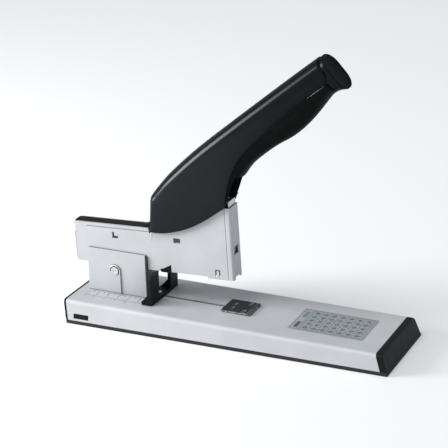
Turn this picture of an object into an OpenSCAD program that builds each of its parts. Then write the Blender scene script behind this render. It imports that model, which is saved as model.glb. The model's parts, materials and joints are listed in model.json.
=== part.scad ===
/* [Base] */
// Length of the base at its foot
base_l = 290; // [240:1:350]
// Width of the base at its foot
base_w = 85; // [72:1:104]
// Width across the top face, before the long edges are rounded
top_w = 80; // [66:1:98]
// Height of the base at its front end
front_h = 16.8; // [15:0.1:20]
// Height of the base at its rear end
rear_h = 20.4; // [18:0.1:24]
// Thickness of the folded cover sheet
cover_t = 1.2; // [0.8:0.1:1.6]
// Radius of the bend along the cover's long edges
bend_r = 4; // [3:0.5:6]
// Thickness of the anti-slip pad
pad_h = 3; // [2:0.5:4]
// Thickness of the steel floor plate
floor_t = 1.5; // [1:0.1:2]
// Length of the front cap's band on the top face
cap_band = 5.4; // [4:0.2:8]
// How far the front face leans back at its top
front_lean = 5.6; // [3:0.2:8]
// How far the rear face leans out at its top
rear_lean = 3.3; // [1:0.1:5]
// Thickness of the rear cap
rear_cap_t = 2; // [1.5:0.1:3]
// Depth of the caps' tongues under the cover
tongue_l = 10; // [8:1:14]

/* [Bracket] */
// Distance from the middle of the base back to the head's pivot
pivot_back = 112.3; // [90:0.5:115]
// Height of the head's pivot above the top face
pivot_rise = 20.8; // [18:0.2:24]
// Radius of the head's pivot pin
head_pin_r = 2.5; // [2:0.1:3]
// Bracket length in front of the pivot
ear_front = 30.5; // [24:0.5:33]
// Bracket length behind the pivot
ear_rear = 26.5; // [22:0.5:30]
// Height of the bracket's ears above the top face
ear_h = 38.6; // [32:0.2:44]
// Thickness of the bracket's steel
ear_t = 1.6; // [1.2:0.1:2]

/* [Head] */
// Upward tilt of the head at rest, degrees
head_tilt = 2; // [1:0.5:3]
// Thickness of the head's sheets
sheet_t = 1; // [0.8:0.1:1.2]
// Reach of the nose's front face from the pivot
nose_reach = 111.4; // [100:0.5:116]
// Height of the nose's top above the pivot
nose_top = 65.6; // [63:0.2:68]
// Height of the nose's bottom above the pivot
nose_bottom = 1.8; // [1.4:0.1:2.4]
// Height of the side plates' rear edge line above the pivot
plate_top = 37.6; // [36:0.2:39]
// Height of the side plates' bottom edge above the pivot
plate_bottom = 3.5; // [3:0.1:4]
// Length of the side plates behind the pivot
plate_rear = 26; // [22:0.5:28]
// Length of the magazine channel behind the pivot
channel_rear = 37.6; // [34:0.2:42]
// Height of the channel's top above the pivot
channel_top = 40.4; // [39:0.2:42]
// Height of the channel's underside above the pivot
channel_bottom = 5; // [4.6:0.1:5.4]
// Width of the opening between the channel's lips
lip_gap = 9.4; // [8:0.2:10]

/* [Staples and driver] */
// Outside width of a staple's crown
staple_w = 12.7; // [12.5:0.1:12.9]
// Leg length of the longest staple
staple_leg = 22; // [18:0.5:23]
// Wire thickness of a staple
wire_t = 0.6; // [0.5:0.05:0.8]
// Play beside the staples in the magazine
staple_play = 0.25; // [0.15:0.05:0.5]
// Length of the loaded strip of staples
strip_l = 42; // [20:1:50]
// Thickness of the driver blade
blade_t = 1; // [0.8:0.1:1.2]
// Travel of the driver
driver_travel = 28.4; // [26:0.2:30]
// Radius of the pusher's rod
rod_r = 2; // [1.5:0.1:2.4]

/* [Handle] */
// Distance of the handle's pivot in front of the head's pivot
handle_u = 45.5; // [42:0.5:50]
// Height of the handle's pivot above the head's pivot
handle_w = 53; // [52:0.2:54]
// Radius of the handle's pivot pin
handle_pin_r = 3; // [2.5:0.1:3.5]
// Length of the lever from its pivot to the push pin
lever_r = 58; // [54:0.5:60]
// Radius of the push pin
push_r = 3.5; // [3:0.1:4]
// Thickness of the lever's steel
lever_t = 1.6; // [1.2:0.1:2]
// Length of the handle from its pivot to its end
handle_l = 208.5; // [180:0.5:240]
// Slope of the handle at rest, degrees above the horizontal
handle_slope = 42; // [40:0.5:44]
// Outside width of the handle's shell
shell_w = 24; // [23:0.2:28]
// Wall thickness of the handle's shell
shell_t = 2.2; // [1.8:0.1:2.6]
// How far the rubber grip stands out on each side
grip_proud = 0.4; // [0.2:0.1:1.5]

/* [Depth guide and anvil] */
// Distance from the middle of the base back to the guide's front face
guide_back = 70.8; // [60:0.5:72]
// Width of the guide across the base
guide_w = 50; // [44:1:60]
// Gap between the guide's posts
post_gap = 22; // [20:0.5:26]
// Height of the guide's posts above the top face
guide_h = 26; // [20:0.5:28]
// Length of the guide's foot along the base
foot_l = 10; // [8:0.5:12]
// Thickness of the guide's posts and foot
post_t = 3; // [2:0.2:4]
// Width of the slot that the guide slides in
slot_w = 3.2; // [2.6:0.1:4]
// Forward travel of the guide
guide_travel = 46; // [30:1:48]
// Length of the anvil plate along the base
anvil_l = 26.4; // [22:0.2:28]
// Width of the anvil plate across the base
anvil_w = 23.4; // [22:0.2:26]
// Thickness of the anvil plate
anvil_t = 1.8; // [1.4:0.1:2.2]
// Radius of the anvil's stem
stem_r = 4; // [3:0.1:5]
// Distance from the anvil's middle to each row of clinching grooves
groove_offset = 6; // [5:0.5:7]
// Length of the label along the base
label_l = 65; // [50:1:75]
// Width of the label across the base
label_w = 41.5; // [30:0.5:50]

/* [Hidden] */
$fn = 48;

run_fit = 0.05;      // radial clearance of a turning fit
gap = 0.2;           // clearance between pieces that only lie side by side
slide_gap = 0.3;     // clearance beside a sliding piece
floor_gap = 0.6;     // clearance round the floor plate
touch = 0.05;        // clearance between pieces that rest on each other
bite = 0.1;          // how far joined shapes of one piece run into each other
far = 400;           // longer than anything it cuts

silver = [0.82, 0.82, 0.83];
steel = [0.6, 0.6, 0.62];
dark = [0.16, 0.16, 0.17];
black = [0.05, 0.05, 0.055];
rubber = [0.03, 0.03, 0.03];

// Base: the top face slopes down to the front, and the sides lean out to the foot
mid_h = (front_h + rear_h) / 2;
wedge = atan((rear_h - front_h) / base_l);
side_lean = (base_w - top_w) / 2 / mid_h;
pivot_x = -pivot_back;
pivot_z = mid_h + pivot_back * tan(wedge) + pivot_rise;
plate_top_z = pad_h + floor_t;
base_screw_r = 1.5;
base_screw_head_r = 3.2;
boss_r = 4;
base_screw_x = [-base_l / 2 + rear_cap_t + tongue_l / 2 + 1,
    base_l / 2 - cap_band - front_lean - tongue_l / 2];
base_screw_y = top_w / 2 - 12;
rib_l = 4;
rib_step = 8;
badge_l = 14;
badge_h = 4;
badge_at = [-base_l / 2 + 14, 7];
beam_half = 15;
beam_t = 1.5;
beam_top = -cover_t - 6.5;

// Bracket
ear_in = staple_w / 2 + staple_play + 2 * sheet_t + 0.5;
ear_out = ear_in + ear_t;
rivet_r = 1.6;
rivet_head_r = 2.8;
rivet_head_h = 1;
bracket_rivet_x = [pivot_x - ear_rear + 7, pivot_x + ear_front - 8];
bracket_rivet_y = 4.6;
pin_head_r = head_pin_r + 1.1;
pin_head_h = 1.4;
clip_r = 0.55;
clip_bend_r = head_pin_r + 2.4;

// Anvil and guide
anvil_x = 0.5;
stem_depth = 9;
neck_r = stem_r - 1;
seat_half = 13;
clamp_w = 12;
clamp_l = 10;
clamp_t = 2;
guide_x = -guide_back;
guide_screw_x = guide_x - foot_l / 2 - 1;
slot_rear = guide_screw_x - clamp_l / 2 - 3;
slot_front = guide_screw_x + guide_travel + clamp_l + 6.6;
guide_screw_r = 1.3;
guide_screw_head_r = 2.8;
guide_screw_head_h = 1.2;
gusset_h = 10.4;
gusset_t = 2;
post_corner = 2.8;
label_x = 83.5;

// Head: two outer plates, a channel inside them, and a wrapped nose
head_half = staple_w / 2 + staple_play + 2 * sheet_t;
channel_half = head_half - sheet_t;
inner_half = channel_half - sheet_t;
rail_half = staple_w / 2 - wire_t - touch;
rail_bottom = channel_bottom + sheet_t;
rail_top = rail_bottom + gap + staple_leg;
crown_top = rail_top + touch + wire_t;
step_u = nose_reach - 24.8;
seam_u = nose_reach - 5;
nose_t = 1.2;
nose_corner = 1.8;
window_w = 27;
window_half = [4.3, 3.5];
throat_half = 4.6;
throat_h = 2.2;
slot_low = 28.9;
blade_front = nose_reach - nose_t - 0.1;
blade_back = blade_front - blade_t;
strip_front = blade_back - gap;
strip_back = strip_front - strip_l;
blade_rest = nose_bottom + gap + driver_travel;
shelf_bottom = crown_top + 0.7 + driver_travel;
stud_w = shelf_bottom + 2.6;
stud_r = 1.5;
plate_rivet_r = 1.5;
plate_rivet_points = [[-18, 12], [24, 12]];
pivot_hole_r = 7.6;
rod_w = (rail_bottom + rail_top) / 2;
rod_back = -channel_rear + 1;
pusher_l = 22;
plug_l = 5.5;
cover_front = handle_u - 12.2;

// Handle: a lever of folded steel in a moulded shell with a rubber grip
swing = 2 * asin(driver_travel / 2 / lever_r);
push_u = handle_u + lever_r * cos(swing / 2);
push_w = handle_w + lever_r * sin(swing / 2);
cap_top = push_w - push_r - gap;
shell_half = shell_w / 2;
cavity_half = shell_half - shell_t;
lever_half = inner_half - 0.4;
lever_in = lever_half - lever_t;
cap_half = lever_in - slide_gap;
hub_r = 7.5;
tip_angle = swing / 2 - (handle_slope - head_tilt);
tip = polar(lever_r, tip_angle);
arm = polar(lever_r, 6);
arm_half = 5;
arm_end = [handle_l - 42, 4.5];
web_t = 2;
handle_screw_r = 1.3;
handle_screw_x = [arm[0] + 36, arm_end[0] - 20];
roof_edge = 6;       // rounding of the shell's roof
belly_edge = 4;      // rounding under the grip
cap_edge = 2;        // rounding of the end cap
grip_half = shell_half + grip_proud;

// Outlines of the handle in its own axes, along it and across it from its pivot
shell_back = [[4.6, 17.4], [15, 19.2], [33, 21.2], [64, 21.7], [100, 20.1], [on_grip(0.55), 16.8],
    [on_grip(0.81), 15.1], [handle_l - 4, 13.4]];
shell_foot = [[56, -29.8], [46.5, -28.8], [34.8, -27.6], [20.8, -24.8], [8.8, -20.8], [-3.9, -14.5],
    [-12.4, -8.2], [-14.6, -5.2], [-14.4, -2.8]];
grip_seam = [[59.4, -28.6], [64.2, -23.9], [70.5, -19.7], [78, -14.6], [85, -11.2], [98, -6.8],
    [on_grip(0.2), -4.6], [on_grip(0.42), -4.2], [on_grip(0.66), -4.2], [on_grip(1), -6.6]];
grip_under = [[on_grip(1), -16.4], [on_grip(0.94), -15.1], [on_grip(0.85), -16.9], [on_grip(0.69), -19.9],
    [on_grip(0.54), -21.1], [on_grip(0.41), -20.5], [on_grip(0.29), -18.2], [on_grip(0.16), -17],
    [on_grip(0), -16.6], [92, -18], [84, -20.2], [77, -22], [70, -25.4], [62, -29]];
end_face = [[handle_l - 3.9, 13.2], [handle_l, 13], [handle_l, -19.6], [handle_l - 4, -19],
    [handle_l - 7.9, -16.4], [handle_l - 7.9, -6.4], [handle_l - 3.9, 0]];
// The open front, where the head goes in
mouth = [[-40, -60], [-40, 2], [2, 8], [12, 15.2], [60, 12], [84, -8], [84, -60]];

// Place along the grip, from 0 at its waist to 1 at its end
function on_grip(share) = 100 + share * (handle_l - 108);

// A point at a distance and an angle
function polar(r, a) = [r * cos(a), r * sin(a)];

function backwards(p) = [for (k = [len(p) - 1:-1:0]) p[k]];

// A smooth curve through control points
function blend_point(a, b, c, d, t) =
    0.5 * (2 * b + (c - a) * t + (2 * a - 5 * b + 4 * c - d) * t * t + (3 * b - a - 3 * c + d) * t * t * t);
function smooth(p, n = 5) = let (last = len(p) - 1) concat(
    [for (i = [0:last - 1]) for (k = [0:n - 1])
        blend_point(p[max(i - 1, 0)], p[i], p[i + 1], p[min(i + 2, last)], k / n)],
    [p[last]]);

// Frames: the top face of the base, the head (origin at its pivot) and the handle (origin at its pivot)
module on_top() translate([0, 0, mid_h]) rotate([0, wedge, 0]) children();
module on_head() translate([pivot_x, 0, pivot_z]) rotate([0, -head_tilt, 0]) children();
module on_handle() on_head() translate([handle_u, 0, handle_w])
    rotate([0, head_tilt - handle_slope, 0]) children();

// An outline in X and Z, given thickness across the object
module slab(from, to) translate([0, to, 0]) rotate([90, 0, 0]) linear_extrude(to - from) children();
module wide(half) slab(-half, half) children();
module both_sides() for (side = [0, 1]) mirror([0, side, 0]) children();
module cross_pin(r, half) rotate([90, 0, 0]) cylinder(r = r, h = 2 * half, center = true);
module cross_pin_part(r, from, to) translate([0, to, 0]) rotate([90, 0, 0]) cylinder(r = r, h = to - from);
module box(from, to) translate(from) cube(to - from);

// A helical wire along +Z
module coil(r, wire, turns, length) {
    steps = 12;
    sides = 6;
    count = round(turns * steps);
    ring = [for (i = [0:count]) let (a = 360 * i / steps, z = wire + (length - 2 * wire) * i / count)
        for (k = [0:sides - 1]) let (b = 360 * k / sides)
            [(r + wire * cos(b)) * cos(a), (r + wire * cos(b)) * sin(a), z + wire * sin(b)]];
    walls = [for (i = [0:count - 1]) for (k = [0:sides - 1]) let (j = (k + 1) % sides)
        [i * sides + k, i * sides + j, (i + 1) * sides + j, (i + 1) * sides + k]];
    ends = [[for (k = [sides - 1:-1:0]) k], [for (k = [0:sides - 1]) count * sides + k]];
    polyhedron(ring, [for (f = concat(walls, ends)) [for (k = [len(f) - 1:-1:0]) f[k]]]);
}

// ---- base ----

// Cross-section of the base below its top face, made smaller by an inset
module base_section(inset) hull() {
    for (side = [-1, 1]) {
        translate([side * (top_w / 2 - bend_r), -bend_r]) circle(bend_r - inset, $fn = 40);
        translate([side * (top_w / 2 + side_lean * 30 - inset) - (side > 0 ? 1 : 0), -30]) square([1, 1]);
    }
}
module base_bar(inset) on_top() translate([-far / 2, 0, 0]) rotate([90, 0, 90])
    linear_extrude(far) base_section(inset);

function rear_x(z) = -base_l / 2 - rear_lean * z / rear_h;
function front_x(z) = base_l / 2 - front_lean * z / front_h;
// Side view of a length of the base, with its leaning ends set in
function base_profile(rear_in, front_in, from, to) = [[rear_x(from) + rear_in, from],
    [front_x(from) - front_in, from], [front_x(to) - front_in, to], [rear_x(to) + rear_in, to]];

module bracket_rivet_places() for (x = bracket_rivet_x, side = [-1, 1])
    on_top() translate([x, side * bracket_rivet_y, 0]) children();
module base_screw_places() for (x = base_screw_x, side = [-1, 1])
    translate([x, side * base_screw_y, 0]) children();
// A block through the right flank where the badge sits, larger by a margin
module badge_block(margin) translate([badge_at[0], -base_w / 2 + side_lean * badge_at[1], badge_at[1]])
    cube([badge_l + 2 * margin, 8, badge_h + 2 * margin], center = true);

module base_cover() color(silver) difference() {
    intersection() {
        base_bar(0);
        wide(far / 2) polygon(base_profile(rear_cap_t, cap_band, pad_h, far / 8));
    }
    base_bar(cover_t);
    on_top() {
        box([slot_rear, -slot_w / 2, -5], [slot_front, slot_w / 2, 1]);
        translate([anvil_x, 0, -5]) cylinder(r = stem_r + slide_gap, h = 10);
    }
    bracket_rivet_places() cylinder(r = rivet_r, h = 10, center = true, $fn = 24);
    badge_block(gap);
}

module floor_plate() color(steel) difference() {
    intersection() {
        base_bar(cover_t + floor_gap);
        box([rear_x(0) + rear_cap_t + 1.5, -base_w / 2, pad_h],
            [front_x(pad_h) - cap_band - 1, base_w / 2, plate_top_z]);
    }
    base_screw_places() cylinder(r = base_screw_r + floor_gap, h = 20, $fn = 24);
}

module anti_slip_pad() color(rubber) difference() {
    intersection() {
        base_bar(0);
        wide(far / 2) polygon(base_profile(0, 0, 0, pad_h));
    }
    for (x = [2 * rib_step - 1:rib_step:base_l / 2 - 3 * rib_step], side = [-1, 1])
        translate([side * x, 0, 0]) cube([rib_l, base_w - 12, 1.6], center = true);
    base_screw_places() {
        cylinder(r = base_screw_head_r + 1.2, h = 4, center = true, $fn = 24);
        cylinder(r = base_screw_r + floor_gap, h = 20, center = true, $fn = 24);
    }
}

// A cap's tongue under the cover, with the bosses that the base screws hold
module cap_tongue(from, to) {
    difference() {
        intersection() {
            base_bar(cover_t + bite);
            box([from, -far, plate_top_z + slide_gap], [to, far, far]);
        }
        base_bar(cover_t + 1.8);
    }
    base_screw_places() intersection() {
        difference() {
            translate([0, 0, plate_top_z + touch]) cylinder(r = boss_r, h = far, $fn = 32);
            cylinder(r = base_screw_r + 0.1, h = 12, $fn = 24);
        }
        base_bar(cover_t + 0.9);
        box([from, -far, 0], [to, far, far]);
    }
}

module front_cap() color(black) {
    difference() {
        intersection() {
            base_bar(0);
            difference() {
                wide(far / 2) polygon(base_profile(0, 0, pad_h, far / 8));
                wide(far / 2) polygon(base_profile(-5, cap_band - touch, -1, far / 4));
            }
        }
        intersection() {
            base_bar(cover_t + 1.4);
            wide(far / 2) polygon(base_profile(0, 2, pad_h - 1, far / 4));
        }
    }
    cap_tongue(front_x(mid_h) - cap_band - tongue_l, front_x(mid_h) - cap_band + 2);
}

module rear_cap() color(black) {
    intersection() {
        base_bar(0);
        difference() {
            wide(far / 2) polygon(base_profile(0, 0, pad_h, far / 8));
            wide(far / 2) polygon(base_profile(rear_cap_t - touch, -5, -1, far / 4));
        }
    }
    cap_tongue(rear_x(mid_h) + rear_cap_t - 1, rear_x(mid_h) + rear_cap_t + tongue_l);
}

module side_badge() color(dark) intersection() {
    badge_block(0);
    difference() {
        base_bar(0.4);
        base_bar(cover_t);
    }
}

module base_beam() color(steel) difference() {
    intersection() {
        box([pivot_x - ear_rear, -beam_half, plate_top_z], [anvil_x + 20, beam_half, far]);
        on_top() box([-far, -far, -far], [far, far, beam_top]);
    }
    intersection() {
        box([-far, -beam_half + beam_t, -1], [far, beam_half - beam_t, far]);
        on_top() box([-far, -far, -far], [far, far, beam_top - beam_t]);
    }
    on_top() translate([anvil_x, 0, -far / 2]) cylinder(r = stem_r + 3, h = far);
}

module base_screws() color(steel) base_screw_places() {
    translate([0, 0, 1.2]) cylinder(r1 = base_screw_head_r, r2 = base_screw_r, h = 0.8, $fn = 24);
    translate([0, 0, 1.2]) cylinder(r = base_screw_r, h = 9.4, $fn = 24);
}

// ---- bracket and head pivot ----

module hinge_bracket() color(silver) difference() {
    on_top() difference() {
        box([pivot_x - ear_rear, -ear_out, 0], [pivot_x + ear_front, ear_out, ear_h]);
        box([-far, -ear_in, ear_t], [far, ear_in, far]);
        for (x = [pivot_x - ear_rear, pivot_x + ear_front]) translate([x, 0, ear_h])
            rotate([90, 45, 0]) cube([1.6, 1.6, far], center = true);
    }
    bracket_rivet_places() cylinder(r = rivet_r, h = 10, center = true, $fn = 24);
    translate([pivot_x, 0, pivot_z]) cross_pin(head_pin_r, far);
}

module bracket_rivets() color(steel) bracket_rivet_places() {
    translate([0, 0, -cover_t - rivet_head_h]) cylinder(r = rivet_head_r, h = rivet_head_h, $fn = 24);
    translate([0, 0, -cover_t - rivet_head_h / 2])
        cylinder(r = rivet_r, h = cover_t + ear_t + rivet_head_h, $fn = 24);
    translate([0, 0, ear_t]) cylinder(r1 = rivet_head_r, r2 = rivet_r + 0.4, h = rivet_head_h, $fn = 24);
}

module head_pin() color(steel) translate([pivot_x, 0, pivot_z]) {
    cross_pin(head_pin_r, ear_out + bite);
    both_sides() difference() {
        cross_pin_part(pin_head_r, ear_out, ear_out + pin_head_h);
        cross_pin_part(head_pin_r - 1, ear_out + pin_head_h - 0.5, ear_out + 2 * pin_head_h);
    }
}

// Spring wire that hooks behind the pin's head and runs down to the base
module pin_clip() color(steel) {
    leg_x = pivot_x + clip_bend_r;
    leg_y = -ear_out - clip_r - gap;
    foot_z = mid_h - leg_x * tan(wedge) + clip_r + touch;
    translate([pivot_x, leg_y, pivot_z]) rotate([90, 0, 0])
        rotate_extrude(angle = 190, start = -5, $fn = 40)
            translate([clip_bend_r, 0]) circle(clip_r, $fn = 20);
    translate([leg_x, leg_y, foot_z]) cylinder(r = clip_r, h = pivot_z - foot_z, $fn = 20);
}

module head_spring() color(steel) translate([pivot_x, -5, pivot_z]) rotate([-90, 0, 0])
    coil(head_pin_r + 1.2, 0.7, 6, 10);

// ---- anvil ----

module on_anvil() on_top() translate([anvil_x, 0, 0]) children();

// One row of two clinching grooves, turned in or turned out
module groove_row(reach) both_sides() translate([0, reach, anvil_t + gap + 6.4])
    rotate([0, 90, 0]) cylinder(r = 7.2, h = 2.4, center = true);

module anvil_plate() color(dark) on_anvil() difference() {
    translate([-anvil_l / 2, -anvil_w / 2, gap]) cube([anvil_l, anvil_w, anvil_t]);
    translate([-groove_offset, 0, 0]) groove_row(4.2);
    translate([groove_offset, 0, 0]) groove_row(7.6);
    translate([0, 0, gap - bite]) cylinder(r = neck_r, h = anvil_t - 0.3);
    for (x = [anvil_l / 2 - 3, anvil_l / 2 - 1.8])
        translate([x, -anvil_w, anvil_t + gap - 0.3]) cube([0.5, 2 * anvil_w, 1]);
}

module anvil_stem() color(steel) on_anvil() {
    translate([0, 0, -stem_depth]) cylinder(r = stem_r, h = stem_depth + gap - 0.02);
    translate([0, 0, gap - bite]) cylinder(r = neck_r, h = anvil_t - 0.4);
    translate([0, 0, -stem_depth - 2]) cylinder(r = neck_r, h = 2 + bite);
}

module anvil_clip() color(steel) on_anvil() translate([0, 0, -stem_depth - 1.6]) difference() {
    cylinder(r = stem_r + 2, h = 0.8);
    translate([0, 0, -1]) cylinder(r = neck_r, h = 3);
    translate([0, -1, -1]) cube([far, 2, 3]);
}

module anvil_seat() color(steel) on_anvil() difference() {
    translate([-seat_half, -seat_half, beam_top]) cube([2 * seat_half, 2 * seat_half, -beam_top - cover_t]);
    translate([0, 0, -far / 2]) cylinder(r = stem_r + run_fit, h = far);
    translate([0, 0, beam_top - 1]) cylinder(r = stem_r + 2.6, h = 1.6);
    box([-far, -clamp_w / 2 - 0.5, beam_top - 1], [-seat_half + 4, clamp_w / 2 + 0.5, far]);
}

module anvil_spring() color(steel) on_anvil() translate([0, 0, -stem_depth - 0.6])
    coil(stem_r + 1, 0.3, 2, 2.2);

module spec_label() color([0.55, 0.58, 0.56]) on_top()
    box([label_x - label_l / 2, -label_w / 2, 0.02], [label_x + label_l / 2, label_w / 2, 0.22]);

// ---- depth guide ----

module guide_fence() color(black) on_top() translate([guide_x, 0, 0]) difference() {
    gusset = [[-post_t, gusset_h], [-foot_l + 0.4, post_t], [-foot_l + 0.4, post_t - bite],
        [-post_t + bite, post_t - bite], [-post_t + bite, gusset_h]];
    union() {
        box([-foot_l, -guide_w / 2, slide_gap], [0, guide_w / 2, post_t]);
        both_sides() {
            box([-post_t, post_gap / 2, post_t - bite], [0, guide_w / 2, guide_h]);
            for (y = [post_gap / 2, guide_w / 2 - gusset_t]) slab(y, y + gusset_t) polygon(gusset);
        }
    }
    translate([guide_screw_x - guide_x, 0, -1]) cylinder(r = guide_screw_r + slide_gap, h = far, $fn = 24);
    translate([guide_screw_x - guide_x, 0, post_t - guide_screw_head_h])
        cylinder(r = guide_screw_head_r + 0.4, h = far, $fn = 32);
    both_sides() translate([-post_t / 2, guide_w / 2, guide_h]) rotate([45, 0, 0])
        cube([far, sqrt(2) * post_corner, sqrt(2) * post_corner], center = true);
}

module guide_clamp() color(steel) on_top() translate([guide_screw_x, 0, 0]) difference() {
    union() {
        box([-clamp_l / 2, -clamp_w / 2, -cover_t - slide_gap - clamp_t],
            [clamp_l / 2, clamp_w / 2, -cover_t - slide_gap]);
        box([-clamp_l / 2 + 1, -slot_w / 2 + 0.15, -cover_t - slide_gap - bite],
            [clamp_l / 2 - 1, slot_w / 2 - 0.15, slide_gap - touch]);
    }
    cylinder(r = guide_screw_r, h = far, center = true, $fn = 24);
}

module guide_screw() color(steel) on_top() translate([guide_screw_x, 0, 0]) difference() {
    union() {
        translate([0, 0, post_t - guide_screw_head_h])
            cylinder(r = guide_screw_head_r, h = guide_screw_head_h - 0.1, $fn = 32);
        translate([0, 0, -cover_t - slide_gap - clamp_t - 0.4])
            cylinder(r = guide_screw_r, h = cover_t + slide_gap + clamp_t + post_t - 0.6, $fn = 24);
    }
    box([-0.3, -2.2, post_t - 0.6], [0.3, 2.2, post_t + 1]);
}

// ---- head ----

module bumper_notch(grow) offset(delta = grow)
    polygon([[handle_u - 2.3, -20], [handle_u - 2.3, 5.6], [handle_u + 0.6, 6.1], [handle_u + 8, 10.2],
        [handle_u + 8, -20]]);

// Side view of one outer plate
module plate_outline() difference() {
    union() {
        polygon([[-plate_rear, plate_bottom], [step_u, plate_bottom], [step_u + 1.7, nose_bottom],
            [seam_u, nose_bottom], [seam_u, nose_top], [seam_u - 8, nose_top], [handle_u + 8, handle_w + 6.5],
            [handle_u, handle_w + 6.5], [handle_u - 6.5, handle_w], [handle_u - 6.5, plate_top],
            [-plate_rear, plate_top]]);
        translate([handle_u, handle_w]) circle(6.5);
        hull() {
            circle(7);
            translate([-10, plate_bottom]) square([20, 1]);
        }
    }
    plate_slots();
    bumper_notch(0);
    translate([step_u + 8, nose_bottom + 1.6]) difference() {
        square([4.6, 7]);
        translate([1, -1]) square([2.6, 6.9]);
    }
}

module side_plate() difference() {
    slab(channel_half, head_half) plate_outline();
    cross_pin(head_pin_r + run_fit, far);
    translate([handle_u, 0, handle_w]) cross_pin(handle_pin_r, far);
    for (p = plate_rivet_points) translate([p[0], 0, p[1]]) cross_pin(plate_rivet_r, far);
}

// The L-shaped slot above the pivot and the rectangular one under the handle
module plate_slots() {
    translate([-0.9, slot_low]) square([1.9, 5.7]);
    translate([-0.9, slot_low]) square([5.5, 2.1]);
    translate([handle_u + 12, slot_low + 1.4]) square([6.4, 4.3]);
}

module side_plate_right() color(silver) on_head() mirror([0, 1, 0]) side_plate();
module side_plate_left() color(silver) on_head() side_plate();

module magazine_channel() color(silver) on_head() difference() {
    union() {
        both_sides() slab(inner_half, channel_half) difference() {
            polygon([[-channel_rear, channel_bottom], [seam_u - 0.5, channel_bottom],
                [seam_u - 0.5, crown_top + 3], [handle_u - 8, crown_top + 3],
                [handle_u - 12, channel_top], [-channel_rear, channel_top]]);
            plate_slots();
            bumper_notch(0);
            for (p = plate_rivet_points) translate(p) circle(plate_rivet_r, $fn = 24);
        }
        difference() {
            box([-channel_rear, -channel_half, channel_bottom],
                [blade_back - 2 * gap, channel_half, channel_bottom + sheet_t]);
            wide(far) bumper_notch(0);
        }
        both_sides() box([-channel_rear, lip_gap / 2, channel_top - sheet_t],
            [handle_u - 12, channel_half, channel_top]);
    }
    wide(far) circle(pivot_hole_r);
}

module nose_plate() color(silver) on_head() difference() {
    translate([0, 0, nose_bottom]) linear_extrude(nose_top - nose_bottom) difference() {
        hull() {
            translate([seam_u + gap, -head_half]) square([1, 2 * head_half]);
            for (side = [-1, 1])
                translate([nose_reach - nose_corner, side * (head_half - nose_corner)]) circle(nose_corner);
        }
        translate([seam_u - 1, -channel_half]) square([nose_reach - nose_t - seam_u + 1, 2 * channel_half]);
    }
    box([nose_reach - 3, -window_half[0], window_w - window_half[1]],
        [far, window_half[0], window_w + window_half[1]]);
    box([nose_reach - 3, -throat_half, nose_bottom - 1], [far, throat_half, nose_bottom + throat_h]);
}

module staple_rail() color(steel) on_head() difference() {
    box([-channel_rear + 6, -rail_half, rail_bottom + touch], [strip_front, rail_half, rail_top]);
    box([-far, -rail_half + 1, 0], [strip_front - 3, rail_half - 1, rail_top - 1]);
    box([-far, -1.5, 0], [strip_front - 10, 1.5, far]);
    wide(rail_half + 1) bumper_notch(-0.1);
    wide(far) circle(pivot_hole_r);
}

module staple_strip() color(steel) on_head() difference() {
    box([strip_back, -staple_w / 2, rail_bottom + 0.1], [strip_front, staple_w / 2, crown_top]);
    box([-far, -staple_w / 2 + wire_t, 0], [far, staple_w / 2 - wire_t, crown_top - wire_t]);
}

module head_bumper() color(black) on_head() difference() {
    wide(head_half - bite) intersection() {
        bumper_notch(-gap);
        translate([0, plate_bottom - 0.9]) square([far, 20]);
    }
    box([0, -inner_half + 0.2, rail_bottom - 0.4], [far, inner_half - 0.2, far]);
}

module pusher_rod() color(steel) on_head() translate([rod_back, 0, rod_w])
    rotate([0, 90, 0]) cylinder(r = rod_r, h = strip_front - 3.2 - rod_back);

module rear_plug() color(black) on_head() difference() {
    union() {
        box([-channel_rear - bite, -inner_half + bite, rail_bottom + bite],
            [-channel_rear + plug_l, inner_half - bite, rail_top + 4]);
        box([-channel_rear - 0.8, -channel_half + 0.6, channel_bottom + 2],
            [-channel_rear - touch, channel_half - 0.6, rail_top + 3]);
    }
    translate([rod_back, 0, rod_w]) rotate([0, 90, 0]) cylinder(r = rod_r + 0.02, h = far);
}

module plate_rivets() color(steel) on_head() both_sides() for (p = plate_rivet_points)
    translate([p[0], 0, p[1]]) {
        cross_pin_part(plate_rivet_r, inner_half + 0.02, head_half + 0.3);
        cross_pin_part(plate_rivet_r + 0.8, head_half, head_half + 0.35);
    }

module pusher_spring() color(steel) on_head() {
    from = -channel_rear + plug_l + 0.1;
    to = strip_back - pusher_l - 0.1;
    translate([from, 0, rod_w]) rotate([0, 90, 0]) coil(rod_r + 0.9, 0.5, 18, to - from);
}

module pusher() color(steel) on_head() difference() {
    front = strip_back - 0.1;
    union() {
        difference() {
            box([front - pusher_l, -staple_w / 2, rail_bottom + 1], [front, staple_w / 2, crown_top]);
            box([-far, -rail_half - 0.1, 0], [far, rail_half + 0.1, rail_top + touch]);
        }
        box([front - pusher_l, -1.2, rod_w], [front, 1.2, crown_top - 0.1]);
        box([front - pusher_l, -rail_half + 1.2, rod_w - 5], [front, rail_half - 1.2, rod_w + 5]);
    }
    translate([-far / 2, 0, rod_w]) rotate([0, 90, 0]) cylinder(r = rod_r + 0.08, h = far);
}

module feed_cover() color(black) on_head() {
    lip_bottom = channel_top - sheet_t;
    box([-channel_rear - 1, -inner_half + gap, lip_bottom - 1.4],
        [cover_front, inner_half - gap, lip_bottom - 0.15]);
    box([-channel_rear - 1, -lip_gap / 2 + 0.15, lip_bottom - 0.3],
        [cover_front, lip_gap / 2 - 0.15, channel_top + 0.7]);
    wide(lip_gap / 2 - 0.15) polygon([[cover_front - 7, channel_top + 0.6],
        [cover_front - 1.4, channel_top + 3], [cover_front, channel_top + 3],
        [cover_front, channel_top + 0.6]]);
}

// ---- driver ----

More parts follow.
